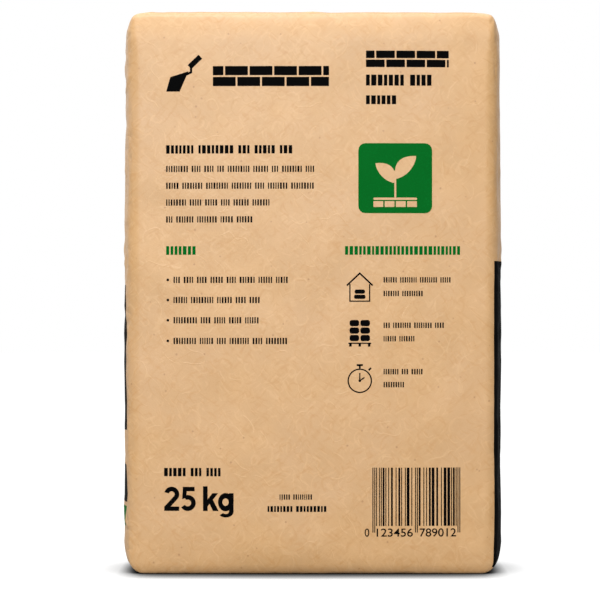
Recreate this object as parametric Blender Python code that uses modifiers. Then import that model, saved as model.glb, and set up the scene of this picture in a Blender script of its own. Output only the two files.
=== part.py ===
"""A 25 kg paper valve sack, filled with cement and standing on its block bottom.

The origin is the middle of the base, +Z is up and the printed front faces -Y. All sizes are in metres.
The sack is a kraft paper tube with both ends folded square. A cover patch is pasted over each end,
and under the top patch a flat paper sleeve lines the filling valve, which opens at the +X end.
"""

import bmesh
import bpy
from mathutils import Vector

# Overall size of the filled sack, patches included
WIDTH = 0.370
DEPTH = 0.100
HEIGHT = 0.545

# Paper
PATCH_THICKNESS = 0.0004
SLEEVE_THICKNESS = 0.0006
GLUE_GAP = 0.0003

# How far the filling swells each wall out past its folded edges, and how late that dies out at the ends
SIDE_BULGE = 0.0085
FACE_BULGE = 0.0050
BULGE_FLATNESS = 24

# Radii along each axis: of the upright folds, and of the edges around the top and the bottom
FOLD_RADIUS_X = 0.0080
FOLD_RADIUS_Y = 0.0080
TOP_RADIUS_X = 0.0220
TOP_RADIUS_Z = 0.0070
BOTTOM_RADIUS_X = 0.0150
BOTTOM_RADIUS_Z = 0.0130
END_REACH = 0.060

# The walls lean in towards the top: (how far in, along this much of the height)
TOP_LEAN_X = (0.0020, 0.040)
TOP_LEAN_Y = (0.0060, 0.045)

# Cover patches (length, width) and valve sleeve
TOP_PATCH = (0.304, 0.058)
BOTTOM_PATCH = (0.316, 0.070)
SLEEVE_WIDTH = 0.044
SLEEVE_INNER_END = 0.104
SLEEVE_LIP = 0.163

# Cuts across the cage on each axis, as shares of the half size
CUTS_X = (0.0, 0.3, 0.55, 0.75, 0.86, 0.92, 0.96)
CUTS_Y = (0.0, 0.35, 0.60, 0.78, 0.90)
CUTS_Z = (0.0, 0.25, 0.5, 0.72, 0.84, 0.90, 0.94, 0.965, 0.982)

KRAFT_BROWN = (0.72, 0.47, 0.25, 1.0)
PATCH_BROWN = (0.68, 0.44, 0.23, 1.0)
SLEEVE_BROWN = (0.76, 0.52, 0.30, 1.0)


def clear_scene():
    for obj in list(bpy.data.objects):
        bpy.data.objects.remove(obj)


def new_collection(name):
    collection = bpy.data.collections.new(name)
    bpy.context.scene.collection.children.link(collection)
    return collection


def paper(name, colour):
    """Matt, uncoated paper."""
    material = bpy.data.materials.new(name)
    material.use_nodes = True
    shader = material.node_tree.nodes["Principled BSDF"]
    shader.inputs["Base Color"].default_value = colour
    shader.inputs["Roughness"].default_value = 0.85
    shader.inputs["Metallic"].default_value = 0.0
    return material


def add_object(name, mesh, collection, material=None):
    obj = bpy.data.objects.new(name, mesh)
    collection.objects.link(obj)
    if material:
        mesh.materials.append(material)
    return obj


def box(name, size, centre, collection, material=None):
    """A plain box of the given size, placed by its centre."""
    bm = bmesh.new()
    bmesh.ops.create_cube(bm, size=1.0)
    bmesh.ops.scale(bm, vec=Vector(size), verts=bm.verts)
    mesh = bpy.data.meshes.new(name)
    bm.to_mesh(mesh)
    bm.free()
    obj = add_object(name, mesh, collection, material)
    obj.location = centre
    return obj


def lean(distance_from_top, lean_in):
    """How far a wall has leaned in at this distance from the top: a parabola that starts upright."""
    depth, reach = lean_in
    return depth * max(0.0, 1.0 - distance_from_top / reach) ** 2


def edge_radii(z, half_height):
    """The three radii of the edges near height z. The upright folds open out towards both ends."""
    towards_end = max(0.0, 1.0 - (half_height - abs(z)) / END_REACH)
    end_x, end_z = (TOP_RADIUS_X, TOP_RADIUS_Z) if z > 0.0 else (BOTTOM_RADIUS_X, BOTTOM_RADIUS_Z)
    return (FOLD_RADIUS_X + (end_x - FOLD_RADIUS_X) * towards_end, FOLD_RADIUS_Y, end_z)


def round_edges(point, half, radii):
    """Moves a point of the box's surface onto the box with elliptical edges and corners."""
    inner = [max(-(h - r), min(h - r, p)) for p, h, r in zip(point, half, radii)]
    outwards = Vector((p - i) / r for p, i, r in zip(point, inner, radii)).normalized()
    return Vector(i + r * o for i, r, o in zip(inner, radii, outwards))


def swell(point, half):
    """Bulges the four upright walls and leans them in at the top, as the filling and the folded end do."""
    x, y, z = point
    swelling = 1.0 - (abs(z) / half[2]) ** BULGE_FLATNESS
    side = SIDE_BULGE * swelling * (1.0 - min(1.0, abs(y) / half[1]) ** 2)
    face = FACE_BULGE * swelling * (1.0 - min(1.0, abs(x) / half[0]) ** 2)
    side -= lean(half[2] - z, TOP_LEAN_X)
    face -= lean(half[2] - z, TOP_LEAN_Y)
    return Vector((x * (1.0 + side / half[0]), y * (1.0 + face / half[1]), z))


def sack_cage(half):
    """A cube cut across each axis, with its points rounded, bulged and leaned."""
    bm = bmesh.new()
    bmesh.ops.create_cube(bm, size=2.0)
    for axis, shares in enumerate((CUTS_X, CUTS_Y, CUTS_Z)):
        normal = Vector((0.0, 0.0, 0.0))
        normal[axis] = 1.0
        for share in sorted({sign * s for s in shares for sign in (-1.0, 1.0)}):
            everything = list(bm.verts) + list(bm.edges) + list(bm.faces)
            bmesh.ops.bisect_plane(bm, geom=everything, plane_co=normal * share, plane_no=normal)
    for vertex in bm.verts:
        on_box = [c * h for c, h in zip(vertex.co, half)]
        rounded = round_edges(on_box, half, edge_radii(on_box[2], half[2]))
        vertex.co = swell(rounded, half)
    return bm


def build_sack_body(collection, cutters, material):
    """The filled paper tube with its square ends, and the shallow pocket where the valve sleeve lies."""
    half = (WIDTH / 2 - SIDE_BULGE, DEPTH / 2 - FACE_BULGE, HEIGHT / 2 - PATCH_THICKNESS - GLUE_GAP)
    bm = sack_cage(half)
    mesh = bpy.data.meshes.new("sack_body")
    bm.to_mesh(mesh)
    bm.free()
    mesh.shade_smooth()
    body = add_object("sack_body", mesh, collection, material)
    body.location = (0.0, 0.0, HEIGHT / 2)

    smooth = body.modifiers.new("soft_paper", "SUBSURF")
    smooth.levels = 1
    smooth.render_levels = 1

    pocket_depth = SLEEVE_THICKNESS + GLUE_GAP
    pocket_length = WIDTH / 2 - SLEEVE_INNER_END + GLUE_GAP
    pocket = box(
        "valve_pocket",
        (pocket_length, SLEEVE_WIDTH + 2 * GLUE_GAP, 2 * pocket_depth),
        (SLEEVE_INNER_END - GLUE_GAP + pocket_length / 2, 0.0, HEIGHT / 2 + half[2]),
        cutters,
    )
    pocket.hide_render = True
    pocket.display_type = "WIRE"
    cut = body.modifiers.new("valve_pocket", "BOOLEAN")
    cut.operation = "DIFFERENCE"
    cut.object = pocket


def build_patches(collection, material):
    """The two cover strips pasted over the folded ends. The sack stands on the bottom one."""
    middle = PATCH_THICKNESS / 2
    box("bottom_patch", (*BOTTOM_PATCH, PATCH_THICKNESS), (0.0, 0.0, middle), collection, material)
    box("top_patch", (*TOP_PATCH, PATCH_THICKNESS), (0.0, 0.0, HEIGHT - middle), collection, material)


def build_valve_sleeve(collection, material):
    """The flattened paper sleeve of the valve. Its lip looks out from under the top patch at +X."""
    length = SLEEVE_LIP - SLEEVE_INNER_END
    top = HEIGHT - PATCH_THICKNESS - GLUE_GAP
    centre = (SLEEVE_INNER_END + length / 2, 0.0, top - SLEEVE_THICKNESS / 2)
    box("valve_sleeve", (length, SLEEVE_WIDTH, SLEEVE_THICKNESS), centre, collection, material)


def main():
    clear_scene()
    cement_sack = new_collection("cement_sack")
    cutters = new_collection("cutters")
    cutters.hide_render = True
    build_sack_body(cement_sack, cutters, paper("kraft_paper", KRAFT_BROWN))
    build_patches(cement_sack, paper("patch_paper", PATCH_BROWN))
    build_valve_sleeve(cement_sack, paper("sleeve_paper", SLEEVE_BROWN))


main()
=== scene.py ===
"""Looks of a full paper cement sack, laid out as an add-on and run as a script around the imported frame.

The frame gives the sack's place and size: the origin is the middle of the base, +Z is up and the printed
front faces -Y. Every piece is worked out with numpy on a grid, in metres, apart from the bar code's
figures, which come from Blender's own font. The sack is a block of grid points whose six walls are
rounded, swollen and creased. Flaps, patches and print are thin films, drawn flat in (across, up) on a
wall and then laid on that wall's own grid, so that they follow the paper.
"""

import itertools
import math

import bmesh
import bpy
import numpy as np
from bpy.props import FloatProperty, FloatVectorProperty, IntProperty, PointerProperty
from bpy.types import Operator, Panel, PropertyGroup
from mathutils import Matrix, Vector


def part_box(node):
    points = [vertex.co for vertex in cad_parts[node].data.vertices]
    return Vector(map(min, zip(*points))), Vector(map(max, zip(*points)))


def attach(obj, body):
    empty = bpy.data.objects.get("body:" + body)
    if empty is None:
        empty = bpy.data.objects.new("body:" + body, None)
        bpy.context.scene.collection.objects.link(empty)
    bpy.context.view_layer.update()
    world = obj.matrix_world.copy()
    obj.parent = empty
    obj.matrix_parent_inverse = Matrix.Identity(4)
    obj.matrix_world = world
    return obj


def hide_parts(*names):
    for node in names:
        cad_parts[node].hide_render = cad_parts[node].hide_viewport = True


bl_info = {
    "name": "Cement Sack",
    "version": (1, 0, 0),
    "blender": (4, 5, 0),
    "location": "3D View > Sidebar > Cement Sack",
    "description": "Builds a full paper valve sack of cement with its generic print",
    "category": "Add Mesh",
}

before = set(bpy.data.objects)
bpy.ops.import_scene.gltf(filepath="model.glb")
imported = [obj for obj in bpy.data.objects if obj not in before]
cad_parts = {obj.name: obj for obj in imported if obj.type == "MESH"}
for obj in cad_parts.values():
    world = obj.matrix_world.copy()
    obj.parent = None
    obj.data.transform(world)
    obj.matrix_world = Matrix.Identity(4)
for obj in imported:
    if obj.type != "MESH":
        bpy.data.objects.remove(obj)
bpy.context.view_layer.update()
SACK_LOW, SACK_HIGH = (np.array(corner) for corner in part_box("sack_body"))
BASE_PATCH_LOW, BASE_PATCH_HIGH = (np.array(corner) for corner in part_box("bottom_patch"))
TOP_PATCH_LOW, TOP_PATCH_HIGH = (np.array(corner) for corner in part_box("top_patch"))
SLEEVE_LOW, SLEEVE_HIGH = (np.array(corner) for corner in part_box("valve_sleeve"))

BODY = "root"
WALLS = ("left", "right", "front", "back", "bottom", "top")
CRUMPLE = "crumple"

# Thickness of one ply of paper, and the block of filling that two folded plies cover at each end
PLY = 0.0003
BLOCK_LOW = SACK_LOW * (1, 1, 0) + (0, 0, BASE_PATCH_HIGH[2] + 2 * PLY)
BLOCK_HIGH = SACK_HIGH - (0, 0, 2 * PLY)

# Ink on the flat front and on the two side walls: (specular level, how crumpled it is)
FRONT_INK = (0.03, 0.0)
SIDE_INK = (0.06, 0.55)


# Settings

class SackShape(PropertyGroup):
    """Sizes of the filled paper sack."""

    side_bulge: FloatProperty(
        name="Side bulge", description="How far a side wall swells past its folds",
        default=0.0085, unit="LENGTH")
    face_bulge: FloatProperty(
        name="Face bulge", description="How far the front and the back swell past their folds",
        default=0.0050, unit="LENGTH")
    fold_radius: FloatProperty(
        name="Fold radius", description="Radius of the four upright folds",
        default=0.0095, unit="LENGTH")
    lump_height: FloatProperty(
        name="Lump height", description="Height of the lumps that the powder makes under the paper",
        default=0.0004, unit="LENGTH")
    slack: FloatVectorProperty(
        name="Slack", description="Share by which the paper is longer than its filling, along each axis",
        default=(0.006, 0.030, 0.020), size=3)
    rumple: FloatProperty(
        name="Rumple", description="Share of the simulated wrinkles that the sack keeps", default=0.8)
    seed: IntProperty(name="Seed", description="Start of the random numbers", default=11)


class PaperColours(PropertyGroup):
    """Colours of the papers and inks."""

    kraft: FloatVectorProperty(
        name="Kraft", description="Brown kraft paper of the sack",
        default=(0.605, 0.352, 0.146), size=3, subtype="COLOR", min=0, max=1)
    patch: FloatVectorProperty(
        name="Patch", description="Paper of the two cover patches",
        default=(0.585, 0.342, 0.148), size=3, subtype="COLOR", min=0, max=1)
    sleeve: FloatVectorProperty(
        name="Sleeve", description="Thin paper of the valve sleeve",
        default=(0.66, 0.42, 0.21), size=3, subtype="COLOR", min=0, max=1)
    black: FloatVectorProperty(
        name="Black ink", description="Black printing ink",
        default=(0.0006, 0.0006, 0.0006), size=3, subtype="COLOR", min=0, max=1)
    green: FloatVectorProperty(
        name="Green ink", description="Green printing ink",
        default=(0.0005, 0.118, 0.0128), size=3, subtype="COLOR", min=0, max=1)


class PrintSettings(PropertyGroup):
    """Sizes that all parts of the print share."""

    left_column: FloatProperty(
        name="Left column", description="Where the left column starts, across the front",
        default=-0.1414, unit="LENGTH")
    right_column: FloatProperty(
        name="Right column", description="Where the right column starts, across the front",
        default=0.0308, unit="LENGTH")
    film: FloatProperty(
        name="Ink film", description="Height of the ink above the paper", default=0.00010, unit="LENGTH")
    cell: FloatProperty(
        name="Cell", description="Largest size of a face in an ink film", default=0.0030, unit="LENGTH")


class StageSettings(PropertyGroup):
    """Camera and light."""

    camera_distance: FloatProperty(
        name="Camera distance", description="From the camera to the middle of the sack",
        default=2.0, unit="LENGTH")
    camera_across: FloatProperty(
        name="Camera across", description="How far to the right of the sack's middle the camera stands",
        default=-0.0125, unit="LENGTH")
    camera_height: FloatProperty(
        name="Camera height", description="Height of the camera above the floor",
        default=0.2643, unit="LENGTH")
    lens: FloatProperty(
        name="Lens", description="Focal length of the camera, in millimetres", default=121.67)
    key_power: FloatProperty(
        name="Key light", description="Power of the small softbox overhead, in watts", default=9.0)
    fill_power: FloatProperty(
        name="Fill light", description="Power of the large softbox above the camera, in watts", default=18.5)
    sky: FloatProperty(
        name="Sky", description="Strength of the soft light from all around", default=1.68)
    floor_glow: FloatProperty(
        name="Floor glow", description="How bright the floor looks to the camera without any light",
        default=0.86)


# Grids and meshes

# Cells of the sack along each axis, and how far they crowd towards its ends, and the same for the simulation
FINE_CUTS = ((122, 0.46), (48, 0.25), (226, 0.44))
COARSE_CUTS = ((32, 0.25), (10, 0.20), (48, 0.25))


def crowded(count, crowding):
    """count + 1 shares from -1 to 1, closer together towards both ends: a mix of t and 1 - (1 - |t|)^2."""
    t = np.linspace(-1.0, 1.0, count + 1)
    return (1.0 - crowding) * t + crowding * np.sign(t) * (1.0 - (1.0 - np.abs(t)) ** 2)


def block_grid(cuts):
    """The grid shares of a block along its three axes."""
    return [crowded(count, crowding) for count, crowding in cuts]


def block_walls(xs, ys, zs):
    """Numbers the outer points of a block of grid points.

    Gives their shares, and each wall as a 2D array of numbers that faces outwards.
    """
    shell = np.zeros((len(xs), len(ys), len(zs)), bool)
    shell[[0, -1]] = True
    shell[:, [0, -1]] = True
    shell[:, :, [0, -1]] = True
    numbers = np.full(shell.shape, -1)
    numbers[shell] = np.arange(shell.sum())
    shares = np.stack(np.meshgrid(xs, ys, zs, indexing="ij"), axis=-1)[shell]
    walls = {
        "left": numbers[0][::-1], "right": numbers[-1],
        "front": numbers[:, 0], "back": numbers[::-1, -1],
        "bottom": numbers[::-1, :, 0], "top": numbers[:, :, -1],
    }
    return shares, walls


def quads(numbers):
    """The quads of a 2D array of point numbers, facing along (first axis) x (second axis)."""
    corners = (numbers[:-1, :-1], numbers[1:, :-1], numbers[1:, 1:], numbers[:-1, 1:])
    return np.stack(corners, -1).reshape(-1, 4)


def smoothstep(t):
    """A soft step from 0 at t = 0 to 1 at t = 1: 3 t^2 - 2 t^3."""
    t = np.clip(t, 0.0, 1.0)
    return t * t * (3.0 - 2.0 * t)


def hump(values, middle, width):
    """A hump of height 1: exp(-((value - middle) / width)^2)."""
    return np.exp(-(((values - middle) / width) ** 2))


def make_mesh(name, points, faces, smooth=True):
    """A mesh object from an array of points and a list of arrays of faces."""
    mesh = bpy.data.meshes.new(name)
    mesh.from_pydata(points.tolist(), [], [face for block in faces for face in block.tolist()])
    mesh.update()
    if smooth:
        mesh.shade_smooth()
    obj = bpy.data.objects.new(name, mesh)
    bpy.context.scene.collection.objects.link(obj)
    return obj


def finish_piece(obj, material, replaced=()):
    """Gives a piece its material and its place on the frame, and hides the parts of the frame that it
    replaces.
    """
    obj.data.materials.clear()
    obj.data.materials.append(material)
    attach(obj, BODY)
    if replaced:
        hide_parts(*replaced)
    return obj


def mark_crumple(obj, shares):
    """Writes how crumpled the paper is at each point.

    It is 0.55 half-way up and 1 at both ends, less 94% of that on the front and 45% on the back.
    """
    ends = smoothstep((np.abs(shares[:, 2]) - 0.70) / 0.25)
    front, back = (smoothstep((side * shares[:, 1] - 0.90) / 0.10) for side in (-1, 1))
    amount = (0.55 + 0.45 * ends) * (1.0 - 0.94 * front - 0.45 * back)
    obj.data.attributes.new(CRUMPLE, "FLOAT", "POINT").data.foreach_set("value", amount.astype(np.float32))


def point_normals(grid):
    """Unit normals of a 2D grid of points: the cross product of the differences along its two axes."""
    normals = np.cross(np.gradient(grid, axis=0), np.gradient(grid, axis=1))
    return normals / np.linalg.norm(normals, axis=-1, keepdims=True)


# Shape of the sack

# Radii of its folds: how far from an end they start to change, and what they come to at the top and the base
END_REACH = 0.060
TOP_FOLD_RADIUS = 0.0040
BASE_FOLD_RADIUS = 0.0140
BASE_FOLD_DEPTH_LOSS = 0.0055
TOP_EDGE_RADIUS = 0.0060
BASE_EDGE_RADIUS = 0.0085
BASE_CORNER_GAIN = 0.0035

# Distances over which the walls swell out: (from the top, from the base)
SIDE_ONSET = (0.007, 0.009)
FACE_ONSET = (0.016, 0.010)

# Where the side walls swell more or less than that: share, height, and over how much height
WAIST_GAIN, WAIST_HEIGHT, WAIST_SPREAD = 0.04, 0.29, 0.09
SHOULDER_LOSS, SHOULDER_HEIGHT, SHOULDER_SPREAD = 0.09, 0.36, 0.10
FOOT_GAIN, FOOT_HEIGHT, FOOT_SPREAD = 0.10, 0.035, 0.030

# The top: how far its edges draw in and its short ends drop, over which lengths, and how far it tilts
SIDE_TUCK, SIDE_TUCK_HEIGHT = 0.0004, 0.009
FACE_TUCK, FACE_TUCK_HEIGHT = 0.0060, 0.032
EAR_DROP, EAR_START, EAR_LENGTH = 0.0054, 0.028, 0.021
TOP_TILT = 0.0004
TOP_HEIGHT = 0.050

# The rim of the base around its patch: where it starts, how soon it sets in, how far it sags and how high
RIM_START_X, RIM_WIDTH_X = 0.160, 0.010
RIM_START_Y, RIM_WIDTH_Y = 0.0365, 0.004
RIM_SAG, RIM_HEIGHT = 2.7 * PLY, 0.012

# Cloth simulation: its steps, how firmly the filling holds the paper, and the evening and limit of the result
SETTLING_STEPS = 20
HOLD = 0.12
EVENING_ROUNDS = 12
WRINKLE_LIMIT = 0.003

# Share of the simulated wrinkles that the flat front loses
FRONT_CALM = 0.9


def billows(a, b, wavelengths, count, seed):
    """Smooth lumps of height about 1: a sum of plane waves with random directions, lengths and phases."""
    rng = np.random.default_rng(seed)
    lengths = rng.uniform(*wavelengths, count)
    angles = rng.uniform(0.0, math.tau, count)
    phases = rng.uniform(0.0, math.tau, count)
    turns = (np.multiply.outer(a, np.cos(angles)) + np.multiply.outer(b, np.sin(angles))) / lengths
    return np.sin(math.tau * turns + phases).sum(-1) / math.sqrt(count)


def crease(a, b, start, end, width):
    """A straight crease in flat coordinates: exp(-(distance / width)^2), fading out past its two ends."""
    start, end = np.array(start), np.array(end)
    length = np.linalg.norm(end - start)
    along_a, along_b = (end - start) / length
    along = (a - start[0]) * along_a + (b - start[1]) * along_b
    aside = (b - start[1]) * along_a - (a - start[0]) * along_b
    past = np.maximum(np.maximum(-along, along - length), 0.0)
    return np.exp(-((aside / width) ** 2) - (past / (2.0 * width)) ** 2)


def rounded_block(points, half, radii):
    """Points of a block with elliptical edges, and the outward direction at each.

    A point is the nearest point of the inner block plus radius times direction.
    """
    inner = np.clip(points, -(half - radii), half - radii)
    directions = (points - inner) / radii
    directions /= np.linalg.norm(directions, axis=-1, keepdims=True)
    return inner + radii * directions, directions


def swelling(bulge, above, below, from_top, from_base):
    """How far a wall swells out: bulge (1 - exp(-above / from_top)) (1 - exp(-below / from_base))."""
    return bulge * (1.0 - np.exp(-above / from_top)) * (1.0 - np.exp(-below / from_base))


def swollen_block(shares, shape):
    """The filled sack, worked out from each point's shares of the block, with its outward directions.

    A block with rounded edges is swollen on its four walls by bulge times (1 - share^2), which dies out
    towards both ends as 1 - exp(-distance / onset). Its top draws in, and its top edge drops towards the
    two short ends as (distance past a point)^2.3, so that the upper corners stay as blunt ears. Around the
    patch, the rim of the base sags down to the floor.
    """
    size = BLOCK_HIGH - BLOCK_LOW
    bulge = np.array([shape.side_bulge, shape.face_bulge, 0.0])
    half = size / 2 - bulge
    height = (shares[:, 2] + 1.0) / 2 * size[2]

    end_share = smoothstep(1.0 - np.minimum(height, size[2] - height) / END_REACH)
    at_top = shares[:, 2] > 0
    end_fold = np.where(at_top, TOP_FOLD_RADIUS, BASE_FOLD_RADIUS)
    base_edge = BASE_EDGE_RADIUS + BASE_CORNER_GAIN * np.abs(shares[:, 0]) ** 8
    radii = np.empty_like(shares)
    radii[:, 0] = shape.fold_radius + (end_fold - shape.fold_radius) * end_share
    radii[:, 1] = shape.fold_radius - np.where(at_top, 0.0, BASE_FOLD_DEPTH_LOSS) * end_share
    radii[:, 2] = np.where(at_top, TOP_EDGE_RADIUS, base_edge)
    points, directions = rounded_block(shares * half, half, radii)

    x_share, y_share = (np.clip(points[:, i] / half[i], -1.0, 1.0) for i in (0, 1))
    below = points[:, 2] + half[2]
    above = size[2] - below
    side = swelling(shape.side_bulge, above, below, *SIDE_ONSET)
    face = swelling(shape.face_bulge, above, below, *FACE_ONSET)
    waist = WAIST_GAIN * hump(below, WAIST_HEIGHT, WAIST_SPREAD)
    side *= 1.0 + waist - SHOULDER_LOSS * smoothstep((below - SHOULDER_HEIGHT) / SHOULDER_SPREAD)
    side *= 1.0 + FOOT_GAIN * hump(below, FOOT_HEIGHT, FOOT_SPREAD)
    side = side * (1.0 - y_share**2) - SIDE_TUCK * np.exp(-above / SIDE_TUCK_HEIGHT)
    face = face * (1.0 - x_share**2) - FACE_TUCK * np.clip(1.0 - above / FACE_TUCK_HEIGHT, 0.0, 1.0) ** 2
    points[:, 0] += x_share * side
    points[:, 1] += y_share * face

    near_top = np.clip(1.0 - above / TOP_HEIGHT, 0.0, 1.0)
    past = np.clip((np.abs(points[:, 0]) - (size[0] / 2 - EAR_START)) / EAR_LENGTH, 0.0, 1.1)
    points[:, 2] -= EAR_DROP * past**2.3 * near_top**2
    points[:, 2] -= TOP_TILT * x_share * near_top

    rim_x = smoothstep((np.abs(points[:, 0]) - RIM_START_X) / RIM_WIDTH_X)
    rim_y = smoothstep((np.abs(points[:, 1]) - RIM_START_Y) / RIM_WIDTH_Y)
    points[:, 2] -= RIM_SAG * np.maximum(rim_x, rim_y) * np.clip(1.0 - below / RIM_HEIGHT, 0.0, 1.0)
    return points + (BLOCK_LOW + BLOCK_HIGH) / 2, directions


def front_creases(x, z):
    """Small creases of the front, in metres of depth: two puckers at the upper left corner, a dent at the
    upper right one and three faint lines where the top was folded over."""
    left, right, top = BLOCK_LOW[0], BLOCK_HIGH[0], BLOCK_HIGH[2]
    depth = 0.0
    for deepest, start, end, width in (
        (0.0005, (left + 0.008, top - 0.0185), (left + 0.016, top - 0.0175), 0.0012),
        (0.0004, (left + 0.009, top - 0.0225), (left + 0.015, top - 0.0220), 0.0011),
        (0.0016, (right - 0.0118, top - 0.0110), (right - 0.0108, top - 0.0080), 0.0013),
        (0.00018, (-0.055, top - 0.0048), (-0.019, top - 0.0042), 0.0012),
        (0.00016, (0.0227, top - 0.013), (0.0220, top - 0.048), 0.0014),
        (0.00016, (0.1048, top - 0.004), (0.1060, top - 0.034), 0.0014),
    ):
        depth = depth + deepest * crease(x, z, start, end, width)
    return depth


def buckles(a, b, middles, angles, lengths, widths, depths):
    """Many short creases in flat coordinates, added up.

    Each is depth * exp(-|aside| / width - (along / length)^2), which comes to a sharp line in its middle.
    The line is bowed by 0.3 along^2 / length.
    """
    across, up = a[:, None] - middles[:, 0], b[:, None] - middles[:, 1]
    along = across * np.cos(angles) + up * np.sin(angles)
    aside = up * np.cos(angles) - across * np.sin(angles) - 0.3 * along**2 / lengths
    return (depths * np.exp(-np.abs(aside) / widths - (along / lengths) ** 2)).sum(1)


def scattered_buckles(a, b, low, high, count, lean, depth, seed):
    """Buckles at random places between low and high, within lean radians of the level, at most depth deep.

    About half of them stand out instead, by 0.6 of their depth.
    """
    rng = np.random.default_rng(seed)
    middles = rng.uniform(low, high, (count, 2))
    angles = rng.uniform(-lean, lean, count)
    lengths = rng.uniform(0.008, 0.028, count)
    widths = rng.uniform(0.0022, 0.0060, count)
    depths = depth * rng.uniform(0.2, 1.0, count) * rng.choice((-0.6, 1.0), count)
    return buckles(a, b, middles, angles, lengths, widths, depths)


def side_creases(y, z, seed):
    """Creases of a side wall: the pressed fold of the flat tube down its middle, buckles at both of its
    ends and shallower ones in between."""
    low, high = BLOCK_LOW[2], BLOCK_HIGH[2]
    wander = 0.0020 * billows(z, 0.0 * z, (0.12, 0.35), 5, seed)
    fading = 0.6 + 0.4 * billows(z, 0.0 * z, (0.10, 0.30), 4, seed + 1)
    depth = 0.0011 * fading * crease(y + wander, z, (0.0, low + 0.030), (0.0, high - 0.030), 0.0020)
    edge = BLOCK_HIGH[1]
    depth += scattered_buckles(y, z, (-edge, high - 0.075), (edge, high - 0.006), 18, 0.8, 0.0020, seed + 2)
    depth += scattered_buckles(y, z, (-edge, low + 0.008), (edge, low + 0.070), 16, 0.6, 0.0018, seed + 3)
    depth += scattered_buckles(y, z, (-edge, low + 0.070), (edge, high - 0.075), 22, 0.6, 0.0013, seed + 4)
    return depth


def back_creases(x, z, seed):
    """Creases of the back: buckles in a strip along each of its four edges."""
    left, _, base = BLOCK_LOW
    right, _, top = BLOCK_HIGH
    strip = 0.030
    depth = scattered_buckles(x, z, (left, top - 0.060), (right, top - 0.004), 30, 0.9, 0.0014, seed)
    depth += scattered_buckles(x, z, (left, base + 0.006), (right, base + 0.050), 22, 0.7, 0.0012, seed + 1)
    for edge, start in ((left, seed + 2), (right - strip, seed + 3)):
        depth += scattered_buckles(x, z, (edge, base), (edge + strip, top), 22, 0.7, 0.0015, start)
    return depth


def top_creases(x, y, seed):
    """Puckers of the top, square to its long edges, and buckles at its two short ends."""
    edge = BLOCK_HIGH[1]
    strip = 0.040
    depth = scattered_buckles(y, x, (-edge, BLOCK_LOW[0]), (edge, BLOCK_HIGH[0]), 60, 0.5, 0.0006, seed)
    for end, start in ((BLOCK_LOW[0], seed + 1), (BLOCK_HIGH[0] - strip, seed + 2)):
        depth += scattered_buckles(y, x, (-edge, end), (edge, end + strip), 12, 1.2, 0.0012, start)
    return depth


def spread(values, pairs, rounds):
    """Evens values out over a mesh: each round moves a point halfway to the mean of its neighbours."""
    first, second = pairs.T
    size = len(values)
    neighbours = np.bincount(first, minlength=size) + np.bincount(second, minlength=size)
    for _ in range(rounds):
        total = np.bincount(first, values[second], size) + np.bincount(second, values[first], size)
        values = (values + total / neighbours) / 2
    return values


def settled_paper(shape):
    """Cloth simulation of the paper round its filling, on a coarse copy of the block.

    The paper's rest shape is the block stretched by the slack, so that it has to buckle. The filling holds
    each point softly, as a weak pin, and presses it outwards. Gives the coarse grid, the shares of its
    outer points and, for each of them, how far it moved outwards less the mean of its neighbourhood.
    """
    axes = block_grid(COARSE_CUTS)
    shares, walls = block_walls(*axes)
    start, directions = swollen_block(shares, shape)
    cloth = make_mesh("settling_paper", start, [quads(walls[name]) for name in WALLS])
    cloth.shape_key_add(name="start")
    cut = cloth.shape_key_add(name="cut")
    middle = (BLOCK_LOW + BLOCK_HIGH) / 2
    cut.data.foreach_set("co", ((start - middle) * (1.0 + np.array(shape.slack)) + middle).ravel())
    held = cloth.vertex_groups.new(name="held")
    on_floor = shares[:, 2] < -0.999
    held.add(np.flatnonzero(on_floor).tolist(), 1.0, "REPLACE")
    held.add(np.flatnonzero(~on_floor).tolist(), HOLD, "REPLACE")

    modifier = cloth.modifiers.new("settling", "CLOTH")
    paper = modifier.settings
    paper.quality = 6
    paper.mass = 0.02
    paper.rest_shape_key = cut
    paper.effector_weights.gravity = 0.0
    paper.tension_stiffness = paper.compression_stiffness = 30.0
    paper.shear_stiffness = 12.0
    paper.bending_stiffness = 100.0
    paper.air_damping = 2.0
    paper.vertex_group_mass = "held"
    paper.pin_stiffness = 1.0
    paper.use_pressure = True
    paper.uniform_pressure_force = 2.0
    modifier.collision_settings.use_collision = False
    for step in range(1, SETTLING_STEPS + 1):
        bpy.context.scene.frame_set(step)
    settled = cloth.evaluated_get(bpy.context.evaluated_depsgraph_get()).data
    end = np.empty(len(start) * 3, np.float32)
    settled.vertices.foreach_get("co", end)
    out = ((end.reshape(-1, 3) - start) * directions).sum(1)
    pairs = np.array([edge.vertices[:] for edge in cloth.data.edges])
    bpy.data.objects.remove(cloth)
    bpy.context.scene.frame_set(1)
    wrinkles = np.clip(out - spread(out, pairs, EVENING_ROUNDS), -WRINKLE_LIMIT, WRINKLE_LIMIT)
    return axes, shares, wrinkles


def between_points(axes, shares, values, wanted):
    """Values at the wanted shares, trilinear between the outer points of a coarser block."""
    block = np.zeros([len(axis) for axis in axes])
    block[tuple(np.searchsorted(axis, shares[:, k] - 1e-9) for k, axis in enumerate(axes))] = values
    at = [np.interp(wanted[:, k], axis, np.arange(len(axis))) for k, axis in enumerate(axes)]
    low = [np.minimum(np.floor(a).astype(int), len(axis) - 2) for a, axis in zip(at, axes)]
    part = [a - l for a, l in zip(at, low)]
    total = np.zeros(len(wanted))
    for corner in itertools.product((0, 1), repeat=3):
        weight = np.prod([p if c else 1.0 - p for c, p in zip(corner, part)], axis=0)
        total += weight * block[tuple(l + c for c, l in zip(corner, low))]
    return total


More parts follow.
